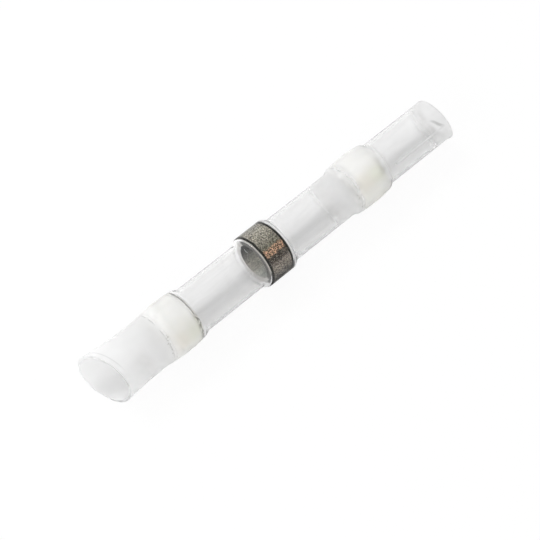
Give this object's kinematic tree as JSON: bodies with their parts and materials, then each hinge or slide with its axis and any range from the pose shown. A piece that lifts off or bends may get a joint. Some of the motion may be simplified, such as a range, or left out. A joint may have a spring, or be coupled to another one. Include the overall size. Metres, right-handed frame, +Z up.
{
  "type": "solder sleeve",
  "caption": "Clear shrink sleeve with a solder ring in its middle and a sealing ring to each side, which joins, solders and seals two thin wires.",
  "frame": {"origin": "middle of the sleeve's length, on the surface that it lies on, below its axis", "axes": "+X along the sleeve towards the far mouth, +Z up"},
  "size_m": [0.026, 0.0033, 0.0032],
  "materials": {
    "clear_tube": "clear, faintly milky cross-linked shrink tube with a satin skin",
    "solder": "dull grey-brown low-melting solder, speckled with flux",
    "adhesive": "milky white hot-melt adhesive with a faint yellow tint"
  },
  "bodies": {
    "root": {"shrink_tube": "clear_tube", "solder_ring": "solder", "near_sealing_ring": "adhesive", "far_sealing_ring": "adhesive"}
  },
  "joints": []
}
